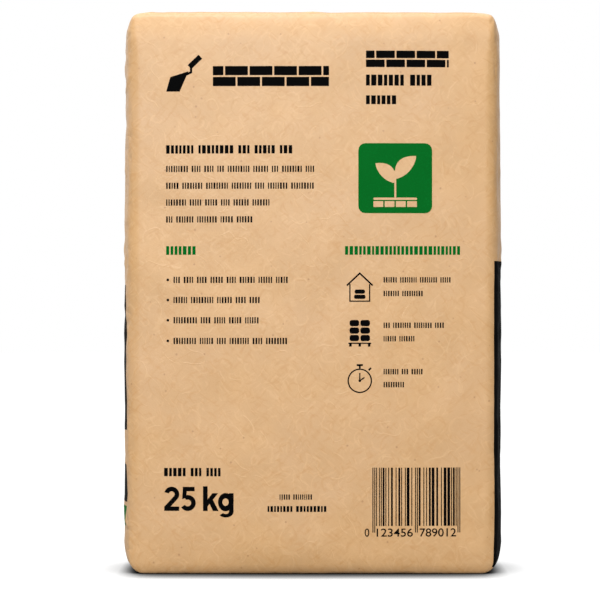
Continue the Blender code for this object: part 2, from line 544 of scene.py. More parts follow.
def rumple(shares, shape):
    """The simulated wrinkles at the points of the fine block. Every other quarter takes them mirrored, so
    that they run from the corners inwards on all four."""
    axes, coarse, out = settled_paper(shape)
    mirrored = shares * (-1.0, 1.0, 1.0)
    blend = smoothstep(0.5 + 4.0 * shares[:, 0] * shares[:, 2])
    plain, turned = (between_points(axes, coarse, out, wanted) for wanted in (shares, mirrored))
    return blend * plain + (1.0 - blend) * turned


def sack_points(shares, shape):
    """The swollen block with lumps, wrinkles and creases, all pushed along the outward directions.

    Each wall's pattern counts by the square of the direction's part that points out of it, and all of them
    but those of the top and the front fade in over the lowest 30 mm.
    """
    points, directions = swollen_block(shares, shape)
    x, y, z = points.T
    facing = directions**2
    front = (directions[:, 1] < 0) * facing[:, 1]
    back = (directions[:, 1] > 0) * facing[:, 1]
    top = (directions[:, 2] > 0) * facing[:, 2]
    seed = shape.seed
    lumps = 0.8 * billows(x + 2.0 * np.sign(y), z, (0.09, 0.20), 10, seed)
    lumps += 0.35 * billows(x + 2.0 * np.sign(y), z, (0.035, 0.07), 14, seed + 1)
    rims = 0.5 * billows(y + 2.0 * np.sign(x), z, (0.05, 0.12), 10, seed + 2)
    ends = 0.7 * billows(x, y, (0.05, 0.12), 10, seed + 3)
    calm = smoothstep((z - BLOCK_LOW[2]) / 0.030)
    push = shape.lump_height * calm * (facing[:, 1] * lumps + facing[:, 0] * rims + facing[:, 2] * ends)
    push -= front * front_creases(x, z)
    push -= calm * facing[:, 0] * side_creases(y * np.sign(x), z + 2.0 * (x > 0), seed + 4)
    push -= calm * back * back_creases(x, z, seed + 30)
    push -= top * top_creases(x, y, seed + 40)
    push += shape.rumple * calm * (1.0 - FRONT_CALM * front) * rumple(shares, shape)
    return points + directions * push[:, None]


class Wall:
    """One wall of the finished sack, read back from its mesh: a 2D grid of points with its flat coordinates.

    Seen from outside, across runs from left to right and up from bottom to top.
    """

    # The axis that runs across each wall, and whether it runs forwards or backwards
    ACROSS = {
        "left": (1, -1), "right": (1, 1),
        "front": (0, 1), "back": (0, -1),
        "bottom": (0, -1), "top": (0, 1),
    }

    def __init__(self, name):
        _, walls = block_walls(*block_grid(FINE_CUTS))
        mesh = bpy.data.objects["paper_sack"].data
        points = np.empty(len(mesh.vertices) * 3, np.float32)
        mesh.vertices.foreach_get("co", points)
        self.points = points.reshape(-1, 3).astype(float)[walls[name]]
        self.normals = point_normals(self.points)
        axis, sign = self.ACROSS[name]
        up = 1 if name in ("bottom", "top") else 2
        middle = [n // 2 for n in self.points.shape[:2]]
        self.across = sign * self.points[:, middle[1], axis]
        self.up = self.points[middle[0], :, up]

    def lay(self, flat, lift):
        """Lays flat points (across, up) on the wall: bilinear in its grid, plus lift times the normal."""
        i = np.interp(flat[:, 0], self.across, np.arange(len(self.across)))
        j = np.interp(flat[:, 1], self.up, np.arange(len(self.up)))
        i0 = np.clip(np.floor(i).astype(int), 0, len(self.across) - 2)
        j0 = np.clip(np.floor(j).astype(int), 0, len(self.up) - 2)
        u, v = (i - i0)[:, None], (j - j0)[:, None]

        def between(grid):
            """Values of a grid at the flat points, bilinear between its four nearest points."""
            low = grid[i0, j0] * (1 - u) + grid[i0 + 1, j0] * u
            high = grid[i0, j0 + 1] * (1 - u) + grid[i0 + 1, j0 + 1] * u
            return low * (1 - v) + high * v

        normals = between(self.normals)
        normals /= np.linalg.norm(normals, axis=-1, keepdims=True)
        return between(self.points) + np.reshape(lift, (-1, 1)) * normals


# Flat shapes

# Radius of a printed brick's corners, and the least width of a strip beside a wall's own grid line
BRICK_CORNER = 0.0005
LEAST_STRIP = 2e-4


class Stencil:
    """Flat shapes in (across, up), each a small grid of points, gathered to be laid on a wall as one film."""

    def __init__(self, cell):
        self.cell = cell
        self.points = []
        self.faces = []
        self.count = 0

    def add(self, points, faces):
        """Adds flat points, and faces that count from the first of them."""
        self.points.append(np.asarray(points, float).reshape(-1, 2))
        self.faces.append(np.asarray(faces) + self.count)
        self.count += len(self.points[-1])

    def grid(self, x, z):
        """A shape from its two coordinate grids."""
        x, z = np.broadcast_arrays(x, z)
        self.add(np.stack((x, z), -1), quads(np.arange(x.size).reshape(x.shape)))

    def steps(self, length):
        """How many cells a length is cut into: the length over the cell's size, rounded up."""
        return max(1, math.ceil(abs(length) / self.cell))

    def bar(self, x0, z0, x1, z1, radius=0.0):
        """A bar with round corners: row by row, its ends step in by radius - sqrt(radius^2 - depth^2)."""
        radius = min(radius, (z1 - z0) / 2, (x1 - x0) / 2)
        straight = np.linspace(radius, z1 - z0 - radius, self.steps(z1 - z0 - 2 * radius) + 1)
        corner = radius * (1.0 - np.cos(np.linspace(0.0, math.pi / 2, 5)))[:-1]
        heights = np.concatenate((corner, straight, (z1 - z0 - corner)[::-1])) if radius else straight
        depth = np.clip(radius - np.minimum(heights, z1 - z0 - heights), 0.0, radius)
        inset = radius - np.sqrt(radius**2 - depth**2)
        t = np.linspace(0.0, 1.0, self.steps(x1 - x0) + 1)[:, None]
        self.grid(x0 + inset + t * (x1 - x0 - 2 * inset), z0 + heights)

    def panel(self, wall, x0, z0, x1, z1):
        """A plain rectangle cut along the wall's own grid lines, for places where the wall bends."""
        lines = []
        for ticks, low, high in ((wall.across, x0, x1), (wall.up, z0, z1)):
            low, high = max(low, ticks[0]), min(high, ticks[-1])
            between = ticks[(ticks > low + LEAST_STRIP) & (ticks < high - LEAST_STRIP)]
            lines.append(np.concatenate(([low], between, [high])))
        self.grid(lines[0][:, None], lines[1][None, :])

    def ring(self, x, z, inner, outer, start=0.0, turn=math.tau, tall=1.0):
        """Part of a ring: points at x + r cos(a), z + tall * r sin(a)."""
        angles = start + np.linspace(0.0, turn, max(12, math.ceil(abs(turn) * outer / 0.0012)) + 1)[:, None]
        radii = np.linspace(outer, inner, self.steps(outer - inner) + 1)
        self.grid(x + radii * np.cos(angles), z + tall * radii * np.sin(angles))

    def stroke(self, corners, width):
        """A line of even width along straight runs, mitred at its corners."""
        path = np.asarray(corners, float)
        lengths = np.linalg.norm(np.diff(path, axis=0), axis=1)
        runs = np.diff(path, axis=0) / lengths[:, None]
        side = np.stack((-runs[:, 1], runs[:, 0]), -1)
        mitre = np.vstack((side[:1], side[:-1] + side[1:], side[-1:]))
        mitre /= (mitre * np.vstack((side[:1], side))).sum(1)[:, None]
        counts = [self.steps(length) for length in lengths]
        at = np.concatenate([k + np.arange(n) / n for k, n in enumerate(counts)] + [[len(counts)]])
        index = np.arange(len(path))
        line = np.stack([np.interp(at, index, path[:, k]) for k in (0, 1)], -1)
        offset = np.stack([np.interp(at, index, mitre[:, k]) for k in (0, 1)], -1) * width / 2
        edge = np.stack((line - offset, line + offset), 1)
        self.grid(edge[..., 0], edge[..., 1])

    def leaf(self, base, tip, width, bend=0.0):
        """A pointed leaf: half width w sin(pi t)^0.8 on both sides of a line bowed by bend sin(pi t)."""
        base, tip = np.asarray(base, float), np.asarray(tip, float)
        t = np.linspace(0.0, 1.0, 17)[:, None]
        s = np.linspace(-1.0, 1.0, 5)
        run = tip - base
        side = np.array([-run[1], run[0]]) / np.linalg.norm(run)
        wave = np.sin(math.pi * t).clip(0.0)
        out = bend * wave + s * width / 2 * wave**0.8
        self.grid(base[0] + t * run[0] + out * side[0], base[1] + t * run[1] + out * side[1])

    def polygon(self, a, b, c, d):
        """A four-sided shape, bilinear between its corners, which run anticlockwise."""
        a, b, c, d = (np.asarray(corner, float) for corner in (a, b, c, d))
        u = np.linspace(0.0, 1.0, self.steps(np.linalg.norm(b - a)) + 1)[:, None, None]
        v = np.linspace(0.0, 1.0, self.steps(np.linalg.norm(d - a)) + 1)[None, :, None]
        points = (a * (1 - u) + b * u) * (1 - v) + (d * (1 - u) + c * u) * v
        self.grid(points[..., 0], points[..., 1])

    def brick_row(self, x0, x1, z, height, seed, brick=(0.0010, 0.0018), bricks=(3, 10), joint=0.0011):
        """A row of small upright bricks from x0 to x1 around height z, in runs of random numbers and widths.

        A gap of 0.45 of the row's height follows each run.
        """
        rng = np.random.default_rng(seed)
        gap = height * 0.45
        x = x0
        while x < x1 - 3 * (brick[1] + joint):
            for width in rng.uniform(*brick, rng.integers(*bricks)):
                if x + width > x1:
                    break
                self.bar(x, z - height / 2, x + width, z + height / 2)
                x += width + joint
            x += gap

    def courses(self, x0, z0, x1, z1, rows, brick, joint):
        """A brick wall in running bond: rows of bars, every other row shifted by half a brick."""
        pitch = (z1 - z0 + joint) / rows
        for row in range(rows):
            for edge in np.arange(x0 - (brick + joint) / 2 * (row % 2), x1, brick + joint):
                left, right = max(edge, x0), min(edge + brick, x1)
                if right - left > joint:
                    low = z0 + row * pitch
                    self.bar(left, low, right, low + pitch - joint, BRICK_CORNER)

    def figures(self, text, height, x0, x1, z, weight):
        """Plain figures in Blender's own font between x0 and x1, with their feet at z, cut into cells.

        Weight is how far their outlines are pushed outwards, in the font's own units.
        """
        curve = bpy.data.curves.new("figures", "FONT")
        curve.body = text
        curve.offset = weight
        obj = bpy.data.objects.new("figures", curve)
        bpy.context.scene.collection.objects.link(obj)
        bpy.context.view_layer.update()
        mesh = bpy.data.meshes.new_from_object(obj.evaluated_get(bpy.context.evaluated_depsgraph_get()))
        bpy.data.objects.remove(obj)
        bpy.data.curves.remove(curve)
        bm = bmesh.new()
        bm.from_mesh(mesh)
        bpy.data.meshes.remove(mesh)
        bmesh.ops.remove_doubles(bm, verts=bm.verts, dist=1e-5)
        flat = np.array([v.co[:2] for v in bm.verts])
        low, high = flat.min(0), flat.max(0)
        scale = np.array([(x1 - x0) / (high[0] - low[0]), height / high[1]])
        for axis in (0, 1):
            normal = Vector((1.0 - axis, float(axis), 0.0))
            for cut in np.arange(low[axis], high[axis], self.cell / scale[axis])[1:]:
                geometry = list(bm.verts) + list(bm.edges) + list(bm.faces)
                bmesh.ops.bisect_plane(bm, geom=geometry, plane_co=normal * cut, plane_no=normal)
        bmesh.ops.triangulate(bm, faces=bm.faces)
        bm.verts.index_update()
        flat = np.array([v.co[:2] for v in bm.verts])
        faces = np.array([[v.index for v in face.verts] for face in bm.faces])
        bm.free()
        flat[:, 0] -= low[0]
        self.add(flat * scale + (x0, z), faces)

    def film(self, name, wall, lift, thickness):
        """The shapes as one closed film, laid on a wall. Its outer side is at a lift, given as a number or as
        a function of (across, up)."""
        flat = np.vstack(self.points)
        lifts = lift(*flat.T) if callable(lift) else np.full(len(flat), lift)
        obj = make_mesh(name, wall.lay(flat, lifts), self.faces, smooth=False)
        solid = obj.modifiers.new("film", "SOLIDIFY")
        solid.thickness = thickness
        solid.offset = -1.0
        return obj


# Materials

# Each paper takes its pattern from another place
PATTERN_OFFSETS = {
    "kraft_paper": (0.0, 0.0, 0.0),
    "patch_paper": (0.31, 0.17, 0.0),
    "sleeve_paper": (0.53, 0.29, 0.0),
}

# Between the pattern of the hairs and the noise that shows only part of them
PART_OFFSET = (3.1, 1.7, 5.3)


def plug(tree, socket, value):
    """Links an input to another node's output, or sets it to a plain value."""
    if isinstance(value, bpy.types.NodeSocket):
        tree.links.new(value, socket)
    else:
        socket.default_value = value


def node(tree, kind, *inputs, **values):
    """A shader node. Inputs feed its first inputs in order. Keys that name an input feed that one, and the
    other keys set the node's own settings."""
    made = tree.nodes.new(kind)
    for key, value in values.items():
        if key in made.inputs:
            plug(tree, made.inputs[key], value)
        else:
            setattr(made, key, value)
    for socket, value in zip(made.inputs, inputs):
        plug(tree, socket, value)
    return made


def noise(tree, place, scale, detail=2.0, roughness=0.5):
    """Soft noise between 0 and 1, around 0.5."""
    made = node(tree, "ShaderNodeTexNoise", place, Scale=scale, Detail=detail, Roughness=roughness)
    return made.outputs["Fac"]


def ramp(tree, value, low, high, to_low=0.0, to_high=1.0):
    """Maps value from low..high to to_low..to_high, and clamps it."""
    return node(tree, "ShaderNodeMapRange", value, low, high, to_low, to_high).outputs["Result"]


def calculate(tree, operation, a, b=0.0):
    """One step of arithmetic on two values, each a number or another node's output."""
    return node(tree, "ShaderNodeMath", a, b, operation=operation).outputs[0]


def tint(tree, factor, colour, other):
    """Mixes a colour towards another by factor. Inputs 6 and 7 and output 2 of the node are its colours."""
    made = node(tree, "ShaderNodeMix", factor, data_type="RGBA", clamp_factor=True)
    plug(tree, made.inputs[6], colour)
    plug(tree, made.inputs[7], other)
    return made.outputs[2]


def shifted(tree, place, offset, turn=0.0, stretch=(1.0, 1.0, 1.0)):
    """Moves a pattern by an offset, turns it round Y by an angle and stretches it along its own axes."""
    made = node(tree, "ShaderNodeMapping", place, offset, (0.0, turn, 0.0), stretch, vector_type="TEXTURE")
    return made.outputs["Vector"]


def spots(tree, place, scale, cover, softness=0.05):
    """1 in the spots where a plain noise is higher than cover, 0 elsewhere."""
    return ramp(tree, noise(tree, place, scale, 0.0), cover, cover + softness)


def strands(tree, place, offset, scale, turn, cover):
    """Short, nearly straight hairs at an angle: the peaks of a noise squeezed to a sixth across them."""
    squeezed = shifted(tree, place, offset, math.radians(turn), (0.17, 1.0, 1.0))
    return spots(tree, squeezed, scale, cover, softness=0.07)


def thin_line(tree, value, middle, width):
    """1 where value comes to middle, 0 where it is more than width from it: a contour line."""
    away = calculate(tree, "ABSOLUTE", calculate(tree, "SUBTRACT", value, middle))
    return ramp(tree, away, width, width * 0.3)


def fibres(tree, place, offset, scale, width, cover):
    """Short curved hairs: a thin contour line of one noise, shown only where a second noise is high."""
    moved = shifted(tree, place, offset)
    line = thin_line(tree, noise(tree, moved, scale, 0.0), 0.5, width)
    part = spots(tree, shifted(tree, moved, PART_OFFSET), scale * 1.2, cover)
    return calculate(tree, "MULTIPLY", line, part)


def curls(tree, place, offset, scale, width, cover):
    """Curled hairs: rings of random radius around the points of a cell texture, shown only in part."""
    moved = shifted(tree, place, offset)
    cells = node(tree, "ShaderNodeTexVoronoi", moved, Scale=scale)
    radius = ramp(tree, cells.outputs["Color"], 0.0, 1.0, 0.22, 0.66)
    line = thin_line(tree, cells.outputs["Distance"], radius, width)
    part = spots(tree, shifted(tree, moved, PART_OFFSET), scale * 1.25, cover)
    return calculate(tree, "MULTIPLY", line, part)


def warped(tree, place, scale, reach):
    """Moves the place about by a soft noise: the noise's colour times reach is added to it."""
    cloud = node(tree, "ShaderNodeTexNoise", place, Scale=scale, Detail=1.0).outputs["Color"]
    reaches = (reach, reach, reach)
    moved = node(tree, "ShaderNodeVectorMath", cloud, reaches, place, operation="MULTIPLY_ADD")
    return moved.outputs["Vector"]


def shaded(colour, red, green=None, blue=None):
    """A colour made darker or lighter by one factor, or by a factor for each channel, up to white."""
    factors = (red, red if green is None else green, red if blue is None else blue)
    return (*(min(1.0, channel * factor) for channel, factor in zip(colour, factors)), 1.0)


def crushed(tree, place, scale, width):
    """Straight sharp creases: valleys along the borders of a cell texture, shown where a noise is high."""
    cells = node(tree, "ShaderNodeTexVoronoi", place, Scale=scale, feature="DISTANCE_TO_EDGE")
    valley = ramp(tree, cells.outputs["Distance"], width, 0.0)
    part = ramp(tree, noise(tree, shifted(tree, place, (4.0, 9.0, 2.0)), scale * 0.7, 1.0), 0.44, 0.60)
    return calculate(tree, "MULTIPLY", calculate(tree, "POWER", valley, 1.6), part)


def paper_tooth(tree, place):
    """The fine tooth of uncoated paper."""
    return noise(tree, place, 620.0, roughness=0.6)


def creased(tree, place, share, normal):
    """Bends a surface's normal by sharp creases in two sizes. The large ones are 1 mm times share deep, and
    the small ones 0.45 of that."""
    bent = warped(tree, place, 16.0, 0.020)
    small = calculate(tree, "MULTIPLY", crushed(tree, bent, 62.0, 0.20), 0.45)
    folds = calculate(tree, "ADD", crushed(tree, bent, 26.0, 0.16), small)
    folds = calculate(tree, "MULTIPLY", folds, calculate(tree, "MULTIPLY", share, -1.0))
    creases = node(tree, "ShaderNodeBump", Strength=1.0, Distance=0.0010, Height=folds, Normal=normal)
    return creases.outputs["Normal"]


def new_material(name):
    """A new material and its node tree."""
    material = bpy.data.materials.new(name)
    material.use_nodes = True
    return material, material.node_tree


def coat(tree, colour, roughness, gloss, normal):
    """Feeds the surface shader that a new material comes with."""
    shader = tree.nodes["Principled BSDF"]
    plug(tree, shader.inputs["Base Color"], colour)
    plug(tree, shader.inputs["Roughness"], roughness)
    plug(tree, shader.inputs["Specular IOR Level"], gloss)
    plug(tree, shader.inputs["Normal"], normal)


def kraft_paper(name, colour, offset):
    """Uncoated kraft paper: soft clouds of tone, light and dark fibres, brown specks and a fine tooth."""
    material, tree = new_material(name)
    place = shifted(tree, node(tree, "ShaderNodeTexCoord").outputs["Object"], offset)

    clouds = noise(tree, place, 21.0, detail=4.0, roughness=0.62)
    paper = tint(tree, ramp(tree, clouds, 0.32, 0.68), shaded(colour, 0.94), shaded(colour, 1.06))

    wash = noise(tree, shifted(tree, place, (7.0, 2.0, 4.0)), 12.0, 3.0)
    paper = tint(tree, ramp(tree, wash, 0.40, 0.66, 0.0, 0.7), paper, shaded(colour, 0.98, 1.01, 1.16))
    rust = shaded(colour, 0.90, 0.80, 0.62)
    for start, turn in (((1.0, 5.0, 2.0), 42), ((4.0, 2.0, 6.0), -50)):
        strokes = noise(tree, shifted(tree, place, start, math.radians(turn), (0.25, 1.0, 1.0)), 55.0, 1.0)
        paper = tint(tree, ramp(tree, strokes, 0.56, 0.76, 0.0, 0.35), paper, rust)

    tooth = paper_tooth(tree, place)
    paper = tint(tree, ramp(tree, tooth, 0.35, 0.75, 0.0, 0.25), paper, shaded(colour, 0.90))
    pale = shaded(colour, 1.10, 1.16, 1.30)
    hairs = []
    loose = warped(tree, place, 34.0, 0.020)
    # Kind, offset, scale, width of the line (or the turn of a strand in degrees), cover, strength and shade
    for hair, start, scale, form, cover, strength, shade in (
        (fibres, (0.0, 0.0, 0.0), 48.0, 0.024, 0.50, 0.44, pale),
        (curls, (9.0, 4.0, 1.0), 58.0, 0.066, 0.51, 0.42, pale),
        (strands, (5.0, 3.0, 8.0), 80.0, 48, 0.69, 0.42, pale),
        (strands, (2.0, 7.0, 4.0), 80.0, -38, 0.69, 0.42, pale),
        (curls, (6.0, 1.0, 7.0), 66.0, 0.070, 0.52, 0.36, rust),
        (strands, (3.0, 6.0, 2.0), 80.0, 57, 0.69, 0.42, rust),
        (strands, (7.0, 4.0, 9.0), 80.0, -47, 0.69, 0.42, rust),
    ):
        hairs.append(hair(tree, loose, start, scale, form, cover))
        paper = tint(tree, calculate(tree, "MULTIPLY", hairs[-1], strength), paper, shade)

    cells = node(tree, "ShaderNodeTexVoronoi", place, Scale=80.0)
    picked = node(tree, "ShaderNodeSeparateColor", cells.outputs["Color"])
    chosen = ramp(tree, picked.outputs[0], 0.30, 0.45)
    speck = calculate(tree, "MULTIPLY", ramp(tree, cells.outputs["Distance"], 0.105, 0.060), chosen)
    paper = tint(tree, calculate(tree, "MULTIPLY", speck, 0.62), paper, shaded(colour, 0.62, 0.50, 0.38))

    height = calculate(tree, "MULTIPLY", tooth, 0.5)
    height = calculate(tree, "ADD", height, calculate(tree, "MULTIPLY", hairs[0], 0.4))
    height = calculate(tree, "ADD", height, calculate(tree, "MULTIPLY", clouds, 1.5))
    bump = node(tree, "ShaderNodeBump", Strength=0.35, Distance=0.0004, Height=height)

    where = node(tree, "ShaderNodeAttribute", attribute_name=CRUMPLE)
    normal = creased(tree, place, where.outputs["Fac"], bump.outputs["Normal"])
    coat(tree, paper, ramp(tree, tooth, 0.3, 0.7, 0.39, 0.51), 0.85, normal)
    return material


def printed_ink(name, colour, gloss, crumpled):
    """Thin flat ink: the paper's tooth still breaks it up a little, and so do its creases on a side wall."""
    material, tree = new_material(name)
    place = node(tree, "ShaderNodeTexCoord").outputs["Object"]
    tooth = paper_tooth(tree, place)
    worn = (colour[0] * 1.5 + 0.001, colour[1] * 1.25 + 0.001, colour[2] * 1.4 + 0.001, 1.0)
    ink = tint(tree, ramp(tree, tooth, 0.50, 0.80), (*colour, 1.0), worn)
    bump = node(tree, "ShaderNodeBump", Strength=0.25, Distance=0.0002, Height=tooth)
    normal = bump.outputs["Normal"]
    if crumpled:
        normal = creased(tree, place, crumpled, normal)
    coat(tree, ink, ramp(tree, tooth, 0.3, 0.7, 0.55, 0.75), gloss, normal)
    return material


def material_of(slot, ink=FRONT_INK):
    """The material of a slot in the record, made when it is first asked for."""
    name = f"{slot}_side_finish" if ink is SIDE_INK else f"{slot}_finish"
    if name in bpy.data.materials:
        return bpy.data.materials[name]
    colour = tuple(getattr(bpy.context.scene.sack_colours, slot.rsplit("_", 1)[0]))
    if slot.endswith("_ink"):
        return printed_ink(name, colour, *ink)
    return kraft_paper(name, colour, PATTERN_OFFSETS[slot])


# Operators

# Largest size of a face in a sheet of paper, and the length over which a sheet climbs over an edge below it
PAPER_CELL = 0.003
CLIMB = 0.003

# The pasted overlap down the back, from and to, across the wall
SEAM = (0.052, 0.084)

# Folded flaps: how far their tips reach past the middle, and how far they stay off the long and short edges
FRONT_FLAP_OVERLAP = 0.012
BACK_FLAP_OVERLAP = 0.010
FLAP_OFF_LONG_EDGE = 0.0135
FLAP_OFF_SHORT_EDGE = 0.026

# Corner radii of the cover patches and of the valve sleeve
PATCH_CORNER = 0.0015
SLEEVE_CORNER = 0.002


def paper_film(stencil, name, wall, lift, slot, replaced=(), thickness=PLY):
    """A sheet of paper pasted on a wall."""
    obj = stencil.film(name, wall, lift, thickness)
    return finish_piece(obj, material_of(slot), replaced)


def ink_film(stencil, name, wall, slot, layer=1, ink=FRONT_INK):
    """A film of ink, or of bare paper that shows through one.

    Its outer side is layer film heights above the paper, and 1.4 film heights thick it reaches down into
    what lies below.
    """
    film = bpy.context.scene.sack_print.film
    obj = stencil.film(name, wall, layer * film, 1.4 * film)
    return finish_piece(obj, material_of(slot, ink))


class CEMENTSACK_OT_sack(Operator):
    """Build the filled paper sack"""

    bl_idname = "cement_sack.sack"
    bl_label = "Paper sack"

    def execute(self, context):
        shares, walls = block_walls(*block_grid(FINE_CUTS))
        points = sack_points(shares, context.scene.sack_shape)
        sack = make_mesh("paper_sack", points, [quads(walls[name]) for name in WALLS])
        mark_crumple(sack, shares)
        finish_piece(sack, material_of("kraft_paper"), ["sack_body"])
        return {"FINISHED"}


def flaps_below(up):
    """How many folded flaps lie at a place of an end: two in the strip where they overlap, one elsewhere."""
    before_front_tip = smoothstep((FRONT_FLAP_OVERLAP + CLIMB / 2 - up) / CLIMB)
    return 1.0 + before_front_tip * smoothstep((up + BACK_FLAP_OVERLAP + CLIMB / 2) / CLIMB)


def sleeve_below(across, up):
    """1 where the valve sleeve lies under the top patch, 0 elsewhere."""
    past_end = smoothstep((across - SLEEVE_LOW[0] + CLIMB / 2) / CLIMB)
    return past_end * smoothstep((SLEEVE_HIGH[1] + CLIMB / 2 - np.abs(up)) / CLIMB)


def back_flap_lift(across, up):
    """The outer side of the back flap, which climbs over the tip of the front one."""
    return PLY * flaps_below(up)


def sleeve_lift(across, up):
    """The outer side of the valve sleeve, on the flaps."""
    return PLY * (1.0 + flaps_below(up))


def top_patch_lift(across, up):
    """The outer side of the top patch, on the flaps and the valve sleeve."""
    return PLY * (1.0 + flaps_below(up) + sleeve_below(across, up))


class CEMENTSACK_OT_folds(Operator):
    """Lay the pasted overlap down the back and the folded flaps on both ends"""

    bl_idname = "cement_sack.folds"
    bl_label = "Seam and flaps"

    def execute(self, context):
        back = Wall("back")
        seam = Stencil(PAPER_CELL)
        seam.panel(back, SEAM[0], back.up[0], SEAM[1], back.up[-1])
        paper_film(seam, "back_seam", back, PLY, "kraft_paper", thickness=1.5 * PLY)

        for end in ("top", "bottom"):
            wall = Wall(end)
            for name, side, overlap, lift in (
                ("front", -1, FRONT_FLAP_OVERLAP, PLY),
                ("back", 1, BACK_FLAP_OVERLAP, back_flap_lift),
            ):
                flap = self.flap(side, overlap)
                paper_film(flap, f"{end}_{name}_flap", wall, lift, "kraft_paper")
        return {"FINISHED"}

    def flap(self, side, overlap):
        """A flap with ends folded at 45 degrees, from a long edge to overlap past the middle."""
        edge = BLOCK_HIGH[0] - FLAP_OFF_SHORT_EDGE
        outer = side * (BLOCK_HIGH[1] - FLAP_OFF_LONG_EDGE)
        inner = -side * overlap
        slant = abs(outer - inner)
        corners = [(-edge, outer), (edge, outer), (edge - slant, inner), (slant - edge, inner)]
        stencil = Stencil(PAPER_CELL)
        stencil.polygon(*corners[::-side])
        return stencil


class CEMENTSACK_OT_patches(Operator):
    """Paste the cover patches on the folded ends, with the valve sleeve under the top one"""

    bl_idname = "cement_sack.patches"
    bl_label = "Patches and valve"

    def execute(self, context):
        top = Wall("top")
        patch = self.sheet(TOP_PATCH_LOW, TOP_PATCH_HIGH, PATCH_CORNER)
        paper_film(patch, "top_cover_patch", top, top_patch_lift, "patch_paper", ["top_patch"])
        sleeve = self.sheet(SLEEVE_LOW, SLEEVE_HIGH, SLEEVE_CORNER)
        paper_film(sleeve, "valve_lip", top, sleeve_lift, "sleeve_paper", ["valve_sleeve"])
        base = self.sheet(BASE_PATCH_LOW, BASE_PATCH_HIGH, PATCH_CORNER)
        paper_film(base, "bottom_cover_patch", Wall("bottom"), 3 * PLY, "patch_paper", ["bottom_patch"])
        return {"FINISHED"}

    def sheet(self, low, high, radius):
        """A flat sheet with round corners, as large as a box is seen from above."""
        stencil = Stencil(PAPER_CELL)
        stencil.bar(low[0], low[1], high[0], high[1], radius)
        return stencil


class CEMENTSACK_OT_ornament(Operator):
    """Print the trowel and the bricks at the head of the front"""

    bl_idname = "cement_sack.ornament"
    bl_label = "Brick ornament"

    def execute(self, context):
        settings = context.scene.sack_print
        wall = Wall("front")
        left = settings.left_column

        bricks = Stencil(settings.cell)
        bricks.courses(left + 0.045, 0.4701, 0.0154, 0.4894, rows=2, brick=0.0220, joint=0.0016)
        ink_film(bricks, "brick_courses", wall, "black_ink")

        trowel = Stencil(settings.cell)
        blade = (left, 0.4650), (left + 0.0130, 0.4650), (left + 0.0215, 0.4845), (left + 0.0040, 0.4790)
        neck = (left + 0.0185, 0.4810), (left + 0.0240, 0.4835), (left + 0.0240, 0.4885)
        grip = (left + 0.0225, 0.4885), (left + 0.0330, 0.4985)
        trowel.polygon(*blade)
        trowel.stroke(neck, width=0.0022)
        trowel.stroke(grip, width=0.0052)
        ink_film(trowel, "trowel", wall, "black_ink")

        heads = Stencil(settings.cell)
        start = 0.0510
        heads.courses(start, 0.4884, 0.1308, 0.5043, rows=2, brick=0.0180, joint=0.0015)
        for end, z, height, seed, brick, joint in (
            (0.1308, 0.4759, 0.0105, 3, (0.0030, 0.0055), 0.0014),
            (0.0933, 0.4570, 0.0085, 4, (0.0028, 0.0045), 0.0013),
        ):
            heads.brick_row(start, end, z, height, seed, brick, (4, 8), joint)
        ink_film(heads, "head_bricks", wall, "black_ink")
        return {"FINISHED"}


class CEMENTSACK_OT_lines(Operator):
    """Print the rows of small upright bricks"""

    bl_idname = "cement_sack.lines"
    bl_label = "Rows of bricks"

    def execute(self, context):
        settings = context.scene.sack_print
        wall = Wall("front")
        left, right = settings.left_column, settings.right_column
        bold, bold_joint = (0.0021, 0.0036), 0.0013
        fine_joint = 0.0010

        # Rows of one block as (height above the floor, where the row ends)
        plain_rows = (0.3905, 0.0068), (0.3743, 0.0046), (0.3582, -0.0406), (0.3419, -0.0540)
        dotted_rows = (0.2837, -0.0231), (0.2643, -0.0502), (0.2448, -0.0523), (0.2249, -0.0181)
        pictogram_rows = (
            (0.2837, 0.1424), (0.2706, 0.1142), (0.2400, 0.1270),
            (0.2271, 0.1010), (0.1954, 0.1154), (0.1829, 0.0970),
        )

        lines = Stencil(settings.cell)
        lines.brick_row(left, -0.0096, 0.4093, 0.0080, 5, bold, joint=bold_joint)
        for row, (z, end) in enumerate(plain_rows):
            lines.brick_row(left, end, z, 0.0060, 20 + row)
        for row, (z, end) in enumerate(dotted_rows):
            lines.ring(left + 0.0016, z, 0.0, 0.0013)
            lines.brick_row(left + 0.0071, end, z, 0.0060, 30 + row)
        for row, (z, end) in enumerate(pictogram_rows):
            lines.brick_row(0.0679, end, z, 0.0052, 40 + row, (0.0009, 0.0015), joint=fine_joint)
        lines.brick_row(left - 0.0020, -0.0847, 0.0986, 0.0080, 8, bold, (3, 6), bold_joint)
        lines.brick_row(-0.0322, 0.0089, 0.0748, 0.0050, 9, (0.0008, 0.0014), joint=fine_joint)
        lines.brick_row(-0.0437, 0.0226, 0.0633, 0.0056, 10, (0.0015, 0.0026))
        ink_film(lines, "black_lines", wall, "black_ink")

        heads = Stencil(settings.cell)
        for start, end, seed, bricks in ((left, -0.1106, 6, (8, 9)), (right, 0.1419, 7, (29, 30))):
            heads.brick_row(start, end, 0.3120, 0.0083, seed, bold, bricks, bold_joint)
        ink_film(heads, "green_lines", wall, "green_ink")
        return {"FINISHED"}


